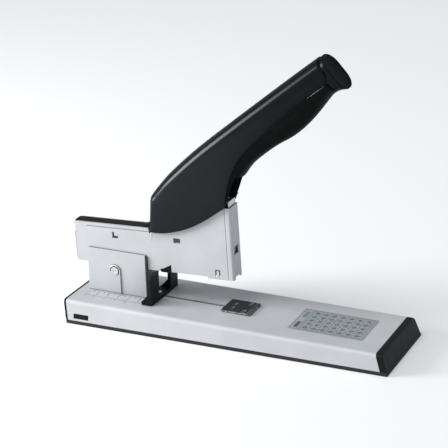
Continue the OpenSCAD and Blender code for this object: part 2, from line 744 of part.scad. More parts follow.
module driver_blade() color(steel) on_head() difference() {
    box([blade_back, -staple_w / 2 + 0.1, blade_rest], [blade_front, staple_w / 2 - 0.1, nose_top + 5]);
    translate([0, 0, stud_w]) rotate([0, 90, 0]) cylinder(r = stud_r, h = far);
}

module driver_cap() color(black) on_head() {
    box([push_u - push_r - 3.5, -cap_half, shelf_bottom], [blade_back - 0.02, cap_half, cap_top]);
    box([blade_back - 1.7, -cap_half, cap_top - bite], [blade_back - 0.02, cap_half, nose_top + 6]);
    translate([blade_back - 1, 0, stud_w]) rotate([0, 90, 0])
        cylinder(r = stud_r - touch, h = blade_t + 1.02);
}

// ---- handle ----

// Upper edge of the lever's arm, across the handle's axis
function arm_top(x) = arm_half + arm[1] + (arm_end[1] - arm[1]) * (x - arm[0]) / (arm_end[0] - arm[0]);

module lever_outline() {
    hull() {
        circle(hub_r);
        translate(tip) circle(push_r + 1.2);
    }
    hull() {
        circle(hub_r);
        translate(arm) circle(arm_half);
    }
    hull() {
        translate(arm) circle(arm_half);
        translate(arm_end) circle(arm_half);
    }
    polygon([[0, 0], tip, polar(lever_r + 1, tip_angle / 2), arm]);
}

module handle_lever() color(steel) on_handle() difference() {
    wide(lever_half) lever_outline();
    wide(lever_in) translate([0, -web_t]) lever_outline();
    wide(lever_in) circle(hub_r + 0.5);
    wide(lever_in) translate(tip) circle(push_r + 4);
    cross_pin(handle_pin_r + run_fit, far);
    translate([tip[0], 0, tip[1]]) cross_pin(push_r, far);
    handle_screw_places() cylinder(r = handle_screw_r + slide_gap, h = far, center = true, $fn = 24);
}

module push_pin() color(steel) on_handle() translate([tip[0], 0, tip[1]]) cross_pin(push_r, lever_half + 0.1);

module handle_pin() color(steel) on_head() translate([handle_u, 0, handle_w]) {
    cross_pin(handle_pin_r, head_half + 0.3);
    both_sides() cross_pin_part(handle_pin_r + 1, head_half, head_half + 0.6);
}

module handle_spring() color(steel) on_head() translate([handle_u, -lever_in + slide_gap, handle_w])
    rotate([-90, 0, 0]) coil(handle_pin_r + 1.1, 0.7, 4, 2 * (lever_in - slide_gap));

module handle_screw_places() for (x = handle_screw_x) translate([x, 0, arm_top(x)]) children();

module shell_outline() polygon(concat(smooth(shell_back), [[handle_l - 4, 0]], backwards(smooth(grip_seam)),
    smooth(shell_foot)));
// Everything below the shell's roof line, running on past both ends
module under_roof() polygon(concat([[-60, 12]], smooth(shell_back), [[handle_l + 20, 13.2],
    [handle_l + 20, -60], [-60, -60]]));
module grip_outline() polygon(concat(smooth(grip_under), smooth(grip_seam)));
// Everything above the grip's belly, running on past both ends
module above_belly() polygon(concat([[handle_l + 20, -16.4]], smooth(grip_under), [[40, -29], [40, 40],
    [handle_l + 20, 40]]));

// Insets of a rounded edge in four steps: [from the side face, from the outline]
function edge_steps(edge) = [for (k = [0:3]) let (a = 90 * k / 3.4) edge * [1 - cos(a), 1 - sin(a)]];

module handle_shell() color(black) on_handle() difference() {
    union() {
        difference() {
            for (step = edge_steps(roof_edge)) wide(shell_half - step[0]) intersection() {
                shell_outline();
                offset(delta = -step[1]) under_roof();
            }
            wide(cavity_half) difference() {
                offset(delta = -shell_t - 0.4) shell_outline();
                translate([handle_l - 30, -far]) square(2 * far);
            }
            wide(cavity_half) polygon(mouth);
        }
        intersection() {
            handle_screw_places() translate([0, 0, slide_gap]) cylinder(r = 3.4, h = far, $fn = 32);
            wide(4) offset(delta = -1.5) shell_outline();
        }
    }
    handle_screw_places() translate([0, 0, -1]) cylinder(r = handle_screw_r, h = 5.6, $fn = 24);
}

module rubber_grip() color(rubber) on_handle() difference() {
    for (step = edge_steps(belly_edge)) wide(grip_half - step[0]) intersection() {
        offset(delta = -touch) grip_outline();
        offset(delta = -step[1]) above_belly();
    }
    wide(cavity_half) polygon(mouth);
}

module end_cap() color(black) on_handle() for (step = edge_steps(cap_edge))
    wide(shell_half + 0.4 - step[0]) offset(delta = -step[1]) polygon(end_face);

module handle_screws() color(steel) on_handle() handle_screw_places() {
    translate([0, 0, -web_t - 1.9]) cylinder(r = 2.8, h = 1.6, $fn = 24);
    translate([0, 0, -web_t - 0.4]) cylinder(r = handle_screw_r - touch, h = web_t + 4.6, $fn = 24);
}

base_cover();
floor_plate();
anti_slip_pad();
front_cap();
rear_cap();
side_badge();
base_beam();
base_screws();
hinge_bracket();
bracket_rivets();
head_pin();
pin_clip();
head_spring();
anvil_seat();
anvil_spring();
spec_label();
anvil_plate();
anvil_stem();
anvil_clip();
guide_fence();
guide_clamp();
guide_screw();
side_plate_right();
side_plate_left();
magazine_channel();
nose_plate();
staple_rail();
staple_strip();
head_bumper();
pusher_rod();
rear_plug();
plate_rivets();
pusher_spring();
handle_pin();
handle_spring();
feed_cover();
pusher();
driver_blade();
driver_cap();
handle_lever();
push_pin();
handle_shell();
rubber_grip();
end_cap();
handle_screws();
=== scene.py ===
"""A heavy duty lever stapler: moulded handle, folded sheet steel, finishes and studio."""

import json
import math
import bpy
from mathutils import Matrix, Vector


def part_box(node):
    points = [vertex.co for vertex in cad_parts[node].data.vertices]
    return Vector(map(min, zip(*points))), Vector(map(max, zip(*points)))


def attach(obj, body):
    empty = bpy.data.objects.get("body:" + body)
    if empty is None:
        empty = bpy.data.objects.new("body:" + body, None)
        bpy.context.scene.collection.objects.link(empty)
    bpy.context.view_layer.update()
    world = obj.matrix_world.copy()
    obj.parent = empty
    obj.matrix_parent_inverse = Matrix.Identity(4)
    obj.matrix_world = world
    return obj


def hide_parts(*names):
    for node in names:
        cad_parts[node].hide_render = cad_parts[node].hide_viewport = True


bl_info = {
    "name": "Heavy Duty Stapler",
    "version": (1, 0, 0),
    "blender": (4, 5, 0),
    "location": "View3D > Sidebar > Stapler",
    "description": "Models and finishes a heavy duty lever stapler around its frame",
    "category": "Object",
}

import bmesh
import bpy
from bpy.props import FloatProperty, FloatVectorProperty, IntProperty, PointerProperty
from mathutils import Matrix, Vector
from mathutils.bvhtree import BVHTree

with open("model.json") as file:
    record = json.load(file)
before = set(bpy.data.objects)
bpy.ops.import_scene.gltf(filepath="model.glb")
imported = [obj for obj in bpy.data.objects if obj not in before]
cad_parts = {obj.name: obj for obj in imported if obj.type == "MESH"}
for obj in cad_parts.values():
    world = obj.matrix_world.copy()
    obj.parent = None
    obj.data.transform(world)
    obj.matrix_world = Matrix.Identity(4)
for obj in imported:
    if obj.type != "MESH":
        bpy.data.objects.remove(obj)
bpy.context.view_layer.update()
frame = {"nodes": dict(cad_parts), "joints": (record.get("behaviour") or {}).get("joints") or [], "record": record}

MM = 0.001
SAME_PLACE = 0.01 * MM  # points closer than this are one point
NODES = frame["nodes"]
BODY_OF = {node: body for body, members in frame["record"]["behaviour"]["bodies"].items() for node in members}
PIVOTS = {joint["name"]: Vector(joint["pos_m"]) for joint in frame["joints"] if "pos_m" in joint}


# ---- sizes and colours that a user would change ----


def length(name, description, millimetres, low=0.0, high=500.0):
    """A length that the panel shows with its unit."""
    return FloatProperty(name=name, description=description, default=millimetres * MM, min=low * MM,
                         max=high * MM, precision=5, subtype="DISTANCE", unit="LENGTH")


def angle(name, description, degrees):
    """An angle that the panel shows in degrees."""
    return FloatProperty(name=name, description=description, default=math.radians(degrees), subtype="ANGLE",
                         unit="ROTATION")


def colour(name, description, red, green, blue):
    """A colour in linear light."""
    return FloatVectorProperty(name=name, description=description, default=(red, green, blue, 1.0), size=4,
                               min=0.0, max=1.0, subtype="COLOR")


class StaplerSizes(bpy.types.PropertyGroup):
    """Sizes of the modelled pieces."""

    handle_slope: angle("Handle slope", "Slope of the handle's axis at rest", 42.0)
    shoulder: length("Shoulder radius", "Rounding between the handle's roof and its sides", 9.0)
    roof_crown: length("Roof crown", "How far the roof's middle stands above its shoulders", 0.8)
    side_crown: length("Side crown", "How far the handle's sides swell in the middle", 0.7)
    shell_wall: length("Shell wall", "Wall thickness of the moulded shell", 2.2)
    rear_shoulder: length("Rear shoulder", "Drop of the shoulder at the handle's rear wall", 2.2)
    lip_round: length("Lip rounding", "Rounding of the grip's lips beside the mouth", 2.5)
    mouth_end: length("Mouth end", "Where the opening for the head ends, along the handle", 84.0)
    rear_opening: length("Rear opening", "Where the opening over the magazine ends, along the handle", 0.5)
    opening_top: length("Opening top", "Height of the openings for the head, up from the handle pin", 6.0)
    opening_round: length("Opening rounding", "Rounding inside the mouth's corners", 2.5)
    # The dark band is partly the real cut edge and partly painted shade on the faces beside it
    shade_band_depth: length("Edge band", "Depth of the dark band along the bracket's front edges", 1.7)
    bracket_foot: length("Bracket foot", "Height below which the bracket's front stays silver", 3.0)
    station: length("Station spacing", "Distance between the handle's cross-sections", 2.5)
    rim_width: length("End rim width", "Width of the oval end across the handle", 24.0)
    rim_edge: length("End rim edge", "Rounding of the oval end's rim", 1.3)
    rim_recess: length("End recess", "Depth of the oval end's recessed face", 0.9)
    sheet_edge: length("Sheet edge", "Rounding of cut sheet edges", 0.22)
    moulded_edge: length("Moulded edge", "Rounding of moulded edges", 0.5)
    fine_edge: length("Fine edge", "Rounding of small turned parts", 0.12)
    round_steps: IntProperty(name="Round steps", description="Faces in a quarter round", default=8,
                             min=3, max=16)


class StaplerColours(bpy.types.PropertyGroup):
    """Colours of the finishes."""

    silver: colour("Silver paint", "Sheet metal paint", 0.52, 0.53, 0.55)
    silver_low: colour("Silver paint, dull", "The same paint where it is rubbed or dusty", 0.45, 0.46, 0.48)
    # The print colour is also the painted shade in the silver paint's corners and seams
    ink: colour("Print", "Printed scale and label ink", 0.045, 0.05, 0.052)
    # Also the colour of the painted shade band along the bracket's front edges
    cut_edge_and_shade_tone: colour("Raw edge", "Cut edge of the bracket sheet", 0.035, 0.036, 0.038)
    steel: colour("Bright steel", "Pins, rivets and springs", 0.62, 0.62, 0.63)
    dark_steel: colour("Dark steel", "Blackened anvil plate", 0.016, 0.0175, 0.02)
    shell: colour("Handle shell", "Satin black plastic", 0.0030, 0.0040, 0.0058)
    rubber: colour("Grip rubber", "Soft matt rubber", 0.003, 0.0032, 0.0035)
    moulding: colour("Black mouldings", "Caps, fence and bumper", 0.005, 0.0055, 0.0065)
    pad: colour("Anti-slip pad", "Rubber under the base", 0.008, 0.008, 0.0085)
    label: colour("Label", "Printed film on the base", 0.31, 0.345, 0.355)
    floor: colour("Floor", "Plain pale floor", 0.92, 0.92, 0.925)


class StaplerStudio(bpy.types.PropertyGroup):
    """The camera and the lights."""

    azimuth: angle("Azimuth", "Camera direction round the stapler", 25.68)
    elevation: angle("Elevation", "Camera height above the horizon", 20.97)
    roll: angle("Roll", "Camera roll", -2.0)
    target: FloatVectorProperty(name="Target", description="Point that the camera looks at", size=3,
                                default=(-0.02041, 0.01625, 0.0859), subtype="TRANSLATION", unit="LENGTH")
    distance: length("Distance", "From the camera to its target", 1356.9, 100, 5000)
    lens: FloatProperty(name="Focal length", description="Camera focal length in millimetres", default=130.26,
                        min=10, max=300)
    key_power: FloatProperty(name="Key light", description="Strength of the large soft light", default=1.35)
    key_azimuth: angle("Key azimuth", "Direction of the key light round the stapler", -28.0)
    key_elevation: angle("Key elevation", "Height of the key light above the horizon", 62.0)
    key_spread: angle("Key spread", "How wide the key light looks; wider is softer", 34.0)
    strip_power: FloatProperty(name="Side light", description="Power of the side light, in watts",
                               default=17.0)
    strip_azimuth: angle("Side light azimuth", "Direction of the light that runs along the shoulder", -66.0)
    strip_elevation: angle("Side light elevation", "Height of the side light above the horizon", 13.0)
    strip_distance: length("Side light distance", "From the side light to the handle", 1300, 100, 5000)
    strip_width: length("Side light width", "Width of the side light", 550, 10, 2000)
    strip_height: length("Side light height", "Height of the side light", 500, 10, 2000)
    fill: FloatProperty(name="Surroundings", description="Strength of the pale surroundings", default=0.42)


# ---- shader maths ----


class Value:
    """A shader socket that takes part in Python expressions; each operation adds its Math node."""

    def __init__(self, shader, socket):
        self.shader = shader
        self.socket = socket

    def math(self, operation, *inputs):
        return self.shader.node("Math", {"operation": operation}, dict(enumerate(inputs)))

    def __add__(self, other):
        return self.math("ADD", self, other)

    def __sub__(self, other):
        return self.math("SUBTRACT", self, other)

    def __rsub__(self, other):
        return self.math("SUBTRACT", other, self)

    def __mul__(self, other):
        return self.math("MULTIPLY", self, other)

    def __truediv__(self, other):
        return self.math("DIVIDE", self, other)

    def __lt__(self, other):
        return self.math("LESS_THAN", self, other)

    def __gt__(self, other):
        return self.math("GREATER_THAN", self, other)

    def __abs__(self):
        return self.math("ABSOLUTE", self)

    def least(self, other):
        return self.math("MINIMUM", self, other)

    def most(self, other):
        return self.math("MAXIMUM", self, other)

    def repeat(self, period):
        """Distance from the nearest multiple of a period."""
        return self.math("PINGPONG", self, period / 2)

    def ramp(self, low, high, to_low=0.0, to_high=1.0):
        """The value, stretched smoothly from one range to another."""
        return self.shader.node("MapRange", {"interpolation_type": "SMOOTHSTEP"},
                                {0: self, 1: low, 2: high, 3: to_low, 4: to_high})

    __radd__ = __add__
    __rmul__ = __mul__


class Shader:
    """One material and its nodes."""

    def __init__(self, name):
        self.material = bpy.data.materials.new(name)
        self.material.use_nodes = True
        self.tree = self.material.node_tree
        self.tree.nodes.clear()
        self.place = self.node("TexCoord", output="Object")
        axes = self.node("SeparateXYZ", inputs={0: self.place}, output=None)
        self.x, self.y, self.z = (Value(self, axes.outputs[name]) for name in "XYZ")

    def node(self, kind, settings=None, inputs=None, output=0):
        """Adds a node, its settings first, then its sockets; returns one output, or the node itself."""
        made = self.tree.nodes.new("ShaderNode" + kind)
        for name, setting in (settings or {}).items():
            setattr(made, name, setting)
        for socket, value in (inputs or {}).items():
            if isinstance(value, Value):
                self.tree.links.new(value.socket, made.inputs[socket])
            else:
                made.inputs[socket].default_value = value
        return made if output is None else Value(self, made.outputs[output])

    def mix(self, share, low, high):
        """One colour blended into another."""
        return self.node("Mix", {"data_type": "RGBA"}, {0: share, 6: low, 7: high}, output=2)

    def noise(self, size, detail=2.0, rough=0.5, stretch=(1, 1, 1), spread=0.0):
        """Cloudy noise whose spots are about one size across, stretched along the axes."""
        place = self.node("Mapping", {"vector_type": "POINT"}, {0: self.place, 3: stretch})
        return self.node("TexNoise", inputs={"Vector": place, "Scale": 1 / size, "Detail": detail,
                                             "Roughness": rough, "Distortion": spread})

    def cells(self, size):
        """Distance inside rounded cells of about one size."""
        return self.node("TexVoronoi", {"feature": "SMOOTH_F1"}, {"Vector": self.place, "Scale": 1 / size})

    def edges(self, width):
        """1 along sharp edges and 0 on open faces."""
        rounded = self.node("Bevel", {"samples": 6}, {0: width})
        normal = self.node("NewGeometry", output="Normal")
        facing = self.node("VectorMath", {"operation": "DOT_PRODUCT"}, {0: rounded, 1: normal}, output=1)
        return facing.ramp(0.985, 0.86)

    def painted_crevice_shade(self, reach):
        """Painted shade: 1 deep in corners and seams, found by ambient occlusion, and 0 on open faces."""
        open_share = self.node("AmbientOcclusion", {"samples": 8}, {"Distance": reach}, output="AO")
        return open_share.ramp(0.92, 0.45)

    def bump(self, height, depth, strength=1.0, under=None):
        """Surface relief of a height from 0 to 1 and a depth in metres."""
        inputs = {"Strength": strength, "Distance": depth, "Height": height}
        if under is not None:
            inputs["Normal"] = under
        return self.node("Bump", inputs=inputs)

    def finish(self, **sockets):
        """The surface itself; names are the sockets' names, with _ for a space."""
        named = {name.replace("_", " "): value for name, value in sockets.items()}
        surface = self.node("BsdfPrincipled", inputs=named)
        self.node("OutputMaterial", inputs={0: surface}, output=None)
        return self.material


def tinted(colour_value, factor):
    """A colour made lighter or darker."""
    return tuple(min(1.0, channel * factor) for channel in colour_value[:3]) + (1.0,)


def band(value, low, high):
    """1 where a value lies between two limits."""
    return (value > low) * (value < high)


# ---- finishes ----


def silver_paint(name, printed=None):
    """Satin silver paint on sheet: fine flake, a little mottle, painted shade in the corners and seams, and rubbed
    edges.
    """
    colours = bpy.context.scene.stapler_colours
    shader = Shader(name)
    mottle = shader.noise(30 * MM, 3).ramp(0.3, 0.7)
    flake = shader.noise(0.35 * MM, 1, 0.6)
    wear = shader.edges(0.5 * MM) * shader.noise(2.2 * MM, 3).ramp(0.42, 0.62)
    smear = shader.noise(14 * MM, 4, 0.6, stretch=(0.35, 1, 1)).ramp(0.45, 0.75)
    paint = shader.mix(mottle * 0.5 + smear * 0.25, colours.silver, colours.silver_low)
    paint = shader.mix(flake.ramp(0.3, 0.75) * 0.22, paint, tinted(colours.silver, 1.22))
    paint = shader.mix(wear * 0.5, paint, tinted(colours.silver, 1.3))
    # Painted shade: ambient occlusion darkens corners and seams towards the print colour
    paint = shader.mix(shader.painted_crevice_shade(1.4 * MM) * 0.75, paint, colours.ink)
    if printed is not None:
        paint = shader.mix(printed(shader) * 0.85, paint, colours.ink)
    rough = 0.5 + smear * 0.07 + flake * 0.05 - wear * 0.08
    relief = shader.bump(shader.noise(0.8 * MM, 2), 0.02 * MM, 0.35,
                         shader.bump(shader.noise(9 * MM, 1), 0.05 * MM, 0.25))
    return shader.finish(Base_Color=paint, Metallic=0.15, Roughness=rough, Normal=relief,
                         Specular_IOR_Level=0.3)


def depth_scale(shader):
    """The printed rule beside the bracket: two lines with ticks between them and short marks beyond."""
    tick, line = 5 * MM, 0.4 * MM
    low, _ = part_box("hinge_bracket")
    start, end = low.x + 2 * MM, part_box("guide_fence")[0].x - 1.5 * MM
    inner, outer = low.y - 2.2 * MM, low.y - 11.5 * MM
    along = shader.x - start
    long_tick = band(along.repeat(2 * tick), -1, line) * band(shader.y, outer + 1.5 * MM, inner)
    short_tick = band(along.repeat(tick), -1, line) * band(shader.y, inner - 3.2 * MM, inner)
    rules = (abs(shader.y - inner) < line).most(abs(shader.y - (outer - 0.6 * MM)) < line * 0.8)
    marks = band(along.repeat(2 * tick), -1, 1.3 * MM) * band(shader.y.repeat(1.6 * MM), -1, 0.3 * MM)
    marks = marks * band(shader.y, outer - 4.6 * MM, outer - 1.6 * MM)
    drawn = long_tick.most(short_tick).most(rules).most(marks)
    broken = shader.noise(1.3 * MM, 2).ramp(0.36, 0.5)
    return drawn * band(shader.x, start, end) * broken * (shader.z > 14 * MM)


def base_paint():
    return silver_paint("printed_silver_paint", depth_scale)


def plain_paint():
    return silver_paint("silver_paint")


def raw_cut_edge():
    """Cut edge of the bracket sheet, dark and finely scored; the same dark finish is also a painted shade band on
    the faces beside the edge.
    """
    colours = bpy.context.scene.stapler_colours
    shader = Shader("raw_cut_edge")
    score = shader.noise(0.5 * MM, 3, stretch=(1, 1, 0.08))
    tone = shader.mix(score, colours.cut_edge_and_shade_tone, tinted(colours.cut_edge_and_shade_tone, 2.2))
    return shader.finish(Base_Color=tone, Metallic=0.6, Roughness=0.42 + score * 0.2,
                         Normal=shader.bump(score, 0.05 * MM, 0.5))


def bright_steel():
    """Plain rolled or turned steel with fine score lines and a few dull spots."""
    colours = bpy.context.scene.stapler_colours
    shader = Shader("bright_steel")
    score = shader.noise(0.6 * MM, 4, 0.6, stretch=(0.06, 1, 1))
    spots = shader.noise(3 * MM, 4, 0.65).ramp(0.55, 0.75)
    tone = shader.mix(spots * 0.6, colours.steel, tinted(colours.steel, 0.55))
    tone = shader.mix(shader.edges(0.35 * MM) * 0.5, tone, tinted(colours.steel, 1.4))
    return shader.finish(Base_Color=tone, Metallic=0.7, Roughness=0.3 + score * 0.14 + spots * 0.16,
                         Normal=shader.bump(score, 0.03 * MM, 0.5))


def dark_steel():
    """Blackened steel, rubbed bright where staples clinch and along its edges."""
    colours = bpy.context.scene.stapler_colours
    shader = Shader("dark_steel")
    low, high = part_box("anvil_plate")
    grain = shader.noise(0.9 * MM, 4, 0.6)
    rim = 0.35 * MM
    groove_top = high.z - rim
    streaks = shader.noise(0.9 * MM, 3, 0.6, stretch=(1, 0.2, 1)).ramp(0.4, 0.6)
    pressed = shader.z.ramp(groove_top, groove_top - rim) * streaks
    rubbed = (shader.edges(0.4 * MM) * 0.7).most(pressed * (shader.z > low.z + 0.4 * MM))
    tone = shader.mix(grain, colours.dark_steel, tinted(colours.dark_steel, 1.7))
    tone = shader.mix(rubbed * 0.9, tone, colours.steel)
    return shader.finish(Base_Color=tone, Metallic=0.3, Specular_IOR_Level=0.25,
                         Roughness=0.5 - rubbed * 0.2 + grain * 0.1,
                         Normal=shader.bump(grain, 0.04 * MM, 0.5))


def moulded_black():
    """Moulded black plastic with a fine spark-eroded grain, greyer along its edges."""
    colours = bpy.context.scene.stapler_colours
    shader = Shader("moulded_black")
    grain = shader.noise(0.45 * MM, 3, 0.65)
    haze = shader.noise(11 * MM, 3).ramp(0.35, 0.7)
    tone = shader.mix(haze * 0.6, colours.moulding, tinted(colours.moulding, 1.6))
    tone = shader.mix(shader.edges(0.5 * MM) * 0.4, tone, tinted(colours.moulding, 4.0))
    rough = 0.42 + grain * 0.12 + haze * 0.05
    return shader.finish(Base_Color=tone, Roughness=rough, Specular_IOR_Level=0.14,
                         Normal=shader.bump(grain, 0.05 * MM, 0.6))


def handle_plastic():
    """Satin handle moulding: very fine grain, faint flow marks and handling shine."""
    colours = bpy.context.scene.stapler_colours
    shader = Shader("handle_plastic")
    grain = shader.noise(0.3 * MM, 3, 0.6)
    flow = shader.noise(26 * MM, 3, 0.5, stretch=(0.4, 1, 1)).ramp(0.35, 0.7)
    handled = shader.noise(17 * MM, 4, 0.6).ramp(0.5, 0.8)
    tone = shader.mix(flow, colours.shell, tinted(colours.shell, 1.35))
    tone = shader.mix(shader.edges(0.5 * MM) * 0.3, tone, tinted(colours.shell, 4.0))
    gloss = shader.z.ramp(110 * MM, 225 * MM, 0.22, 0.08)
    return shader.finish(Base_Color=tone, Roughness=0.4 + grain * 0.1, Specular_IOR_Level=0.03,
                         Coat_Weight=gloss + handled * 0.03, Coat_Roughness=0.18, Coat_IOR=1.7,
                         Normal=shader.bump(grain, 0.03 * MM, 0.35))


def grip_rubber():
    """Soft grip rubber: matt pebble grain, with patches of light dust that are a little rougher."""
    colours = bpy.context.scene.stapler_colours
    shader = Shader("grip_rubber")
    pebble = shader.cells(0.7 * MM)
    dust = shader.noise(7 * MM, 4, 0.6).ramp(0.45, 0.75)
    tone = shader.mix(dust, colours.rubber, tinted(colours.rubber, 1.7))
    return shader.finish(Base_Color=tone, Roughness=0.5 + dust * 0.1, Specular_IOR_Level=0.06,
                         Normal=shader.bump(pebble, 0.08 * MM, 0.45))


def pad_rubber():
    """Anti-slip rubber: moulded pimples and grey scuffs along the lower edge."""
    colours = bpy.context.scene.stapler_colours
    shader = Shader("pad_rubber")
    grain = shader.noise(1.1 * MM, 4, 0.6)
    lower_edge = shader.z.ramp(2.4 * MM, 0.3 * MM)
    scuff = shader.noise(4 * MM, 4, 0.7, stretch=(0.5, 1, 2)).ramp(0.5, 0.72) * lower_edge
    tone = shader.mix(scuff * 0.5, shader.mix(grain, colours.pad, tinted(colours.pad, 1.8)),
                      tinted(colours.pad, 7.0))
    return shader.finish(Base_Color=tone, Roughness=0.72 + grain * 0.12,
                         Normal=shader.bump(grain, 0.1 * MM, 0.6))


def label_film():
    """Printed film: a ruled table of short marks with a darker heading strip; nothing to read."""
    colours = bpy.context.scene.stapler_colours
    shader = Shader("label_film")
    low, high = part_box("spec_label")
    line = 0.42 * MM
    head_end = low.x + 9.5 * MM
    column, row = (high.x - 3 * MM - head_end) / 7, (high.y - low.y - 5 * MM) / 5
    across, up = shader.x - head_end, shader.y - (low.y + 2.5 * MM)
    table = band(across, -line, 7 * column + line) * band(up, -line, 5 * row + line)
    rules = ((across.repeat(column) < line * 0.5).most(up.repeat(row) < line * 0.5)) * table
    mark_x = abs(across.repeat(column) - column / 2)
    mark_y = abs(up.repeat(row) - row / 2)
    wobble = shader.noise(1.6 * MM, 1)
    marks = (mark_x < wobble * (column * 0.62)) * (mark_y < row * 0.11) * table
    marks = marks.most((mark_x < wobble * (column * 0.4)) * (abs(mark_y - row * 0.24) < row * 0.05) * table)
    from_ends = (shader.x - low.x).least(high.x - shader.x)
    from_sides = (shader.y - low.y).least(high.y - shader.y)
    border = band(from_ends.least(from_sides), 0.9 * MM, 1.3 * MM)
    heading = band(shader.x, low.x + 3.4 * MM, low.x + 6.6 * MM)
    bars = band(up.repeat(2.4 * MM), 0.5 * MM, 2 * MM) * band(up, 22 * MM, 33 * MM)
    blocks = band(up, 1.5 * MM, 13 * MM).most(bars)
    second_rule = abs(shader.x - (head_end - 1.4 * MM)) < line * 0.5
    ink = rules.most(marks).most(border).most(heading * blocks).most(second_rule * band(up, 0.0, 5 * row))
    worn = shader.noise(0.9 * MM, 3, 0.6).ramp(0.3, 0.45)
    ground = shader.mix(shader.noise(12 * MM, 3), colours.label, tinted(colours.label, 1.2))
    tone = shader.mix(ink * worn * 0.92, ground, colours.ink)
    return shader.finish(Base_Color=tone, Roughness=0.4 + ink * 0.1, Metallic=0.15,
                         Normal=shader.bump(shader.noise(2.5 * MM, 2), 0.02 * MM, 0.4))


def pale_floor():
    """Seamless pale studio floor with the faintest unevenness."""
    colours = bpy.context.scene.stapler_colours
    shader = Shader("pale_floor")
    tone = shader.mix(shader.noise(600 * MM, 2), colours.floor, tinted(colours.floor, 1.03))
    return shader.finish(Base_Color=tone, Roughness=0.9, Specular_IOR_Level=0.1)


# Material slots of the record, each with the finish that its pieces take
FINISHES = {
    "silver_paint": plain_paint,
    "bright_steel": bright_steel,
    "dark_steel": dark_steel,
    "black_plastic": moulded_black,
    "handle_plastic": handle_plastic,
    "grip_rubber": grip_rubber,
    "pad_rubber": pad_rubber,
    "label_foil": label_film,
}
SLOT_PIECES = {
    "silver_paint": ["base_cover", "hinge_bracket", "side_plate_right", "side_plate_left", "magazine_channel",
                     "nose_plate"],
    "bright_steel": ["floor_plate", "base_beam", "base_screws", "bracket_rivets", "head_pin", "pin_clip",
                     "head_spring", "anvil_seat", "anvil_spring", "anvil_stem", "anvil_clip", "guide_clamp",
                     "guide_screw", "staple_rail", "staple_strip", "pusher_rod", "plate_rivets", "pusher_spring",
                     "handle_pin", "handle_spring", "pusher", "driver_blade", "handle_lever", "push_pin",
                     "handle_screws"],
    "dark_steel": ["anvil_plate"],
    "black_plastic": ["front_cap", "rear_cap", "side_badge", "guide_fence", "head_bumper", "rear_plug",
                      "feed_cover", "driver_cap"],
    "handle_plastic": ["handle_shell", "end_cap"],
    "grip_rubber": ["rubber_grip"],
    "pad_rubber": ["anti_slip_pad"],
    "label_foil": ["spec_label"],
}
SLOT_OF = {node: slot for slot, nodes in SLOT_PIECES.items() for node in nodes}


made_finishes = {}


def finish_of(slot):
    """The finish of a material slot, made once."""
    if slot not in made_finishes:
        made_finishes[slot] = FINISHES[slot]()
    return made_finishes[slot]


def dress(piece, slot, finish=None):
    """Gives a piece its finish and the material slot that it comes from."""
    piece.data.materials.clear()
    piece.data.materials.append(finish or finish_of(slot))


# ---- modelling by hand, in code ----


def only(piece):
    """Selects one piece and nothing else."""
    bpy.ops.object.select_all(action="DESELECT")
    piece.select_set(True)
    bpy.context.view_layer.objects.active = piece


def start(name, primitive, **settings):
    """Adds a primitive, names it and puts its place into its mesh."""
    bpy.ops.object.select_all(action="DESELECT")
    primitive(**settings)
    piece = bpy.context.active_object
    piece.name = name
    piece.data.name = name
    bpy.ops.object.transform_apply(location=True, rotation=True, scale=True)
    return piece


def edit(piece, kind="VERT"):
    """Opens a piece for editing with nothing selected."""
    only(piece)
    bpy.ops.object.mode_set(mode="EDIT")
    bpy.ops.mesh.select_mode(type=kind)
    bpy.ops.mesh.select_all(action="DESELECT")


def done():
    bpy.ops.object.mode_set(mode="OBJECT")


def pick(piece, wanted, kind="verts"):
    """Selects the points, edges or faces that a test accepts, and nothing else."""
    bpy.ops.mesh.select_all(action="DESELECT")
    mesh = bmesh.from_edit_mesh(piece.data)
    found = [element for element in getattr(mesh, kind) if wanted(element)]
    if not found:
        raise RuntimeError(f"nothing to select on {piece.name}")
    for element in found:
        element.select_set(True)
    mesh.select_flush_mode()
    bmesh.update_edit_mesh(piece.data)


def stretch(x=1.0, y=1.0, z=1.0, about=(0, 0, 0)):
    bpy.ops.transform.resize(value=(x, y, z), center_override=about)


def pull_edges(x=0.0, y=0.0, z=0.0):
    bpy.ops.mesh.extrude_edges_move(TRANSFORM_OT_translate={"value": (x, y, z)})


def pull_points(x=0.0, y=0.0, z=0.0):
    bpy.ops.mesh.extrude_vertices_move(TRANSFORM_OT_translate={"value": (x, y, z)})


def apply(piece, kind, **settings):
    """Adds a modifier with its settings and applies it."""
    only(piece)
    modifier = piece.modifiers.new(kind.lower(), kind)
    for name, value in settings.items():
        setattr(modifier, name, value)
    bpy.ops.object.modifier_apply(modifier=modifier.name)


def round_edges(piece, width, steps=2, turn=40.0):
    """Rounds every edge sharper than a turn in degrees."""
    apply(piece, "BEVEL", width=width, segments=steps, limit_method="ANGLE", angle_limit=math.radians(turn),
          use_clamp_overlap=False, miter_outer="MITER_ARC")


def smooth(piece, turn=32.0):
    only(piece)
    bpy.ops.object.shade_smooth_by_angle(angle=math.radians(turn))


def turn_outwards(piece):
    edit(piece)
    bpy.ops.mesh.select_all(action="SELECT")
    bpy.ops.mesh.remove_doubles(threshold=SAME_PLACE)
    bpy.ops.mesh.normals_make_consistent(inside=False)
    done()


def settle(piece, node, matrix=None):
    """Puts a finished piece in its place on the body of the node that it stands for."""
    only(piece)
    if matrix is not None:
        piece.matrix_world = matrix
        bpy.ops.object.transform_apply(location=True, rotation=True, scale=True)
    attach(piece, BODY_OF[node])
    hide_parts(node)
    dress(piece, SLOT_OF[node])


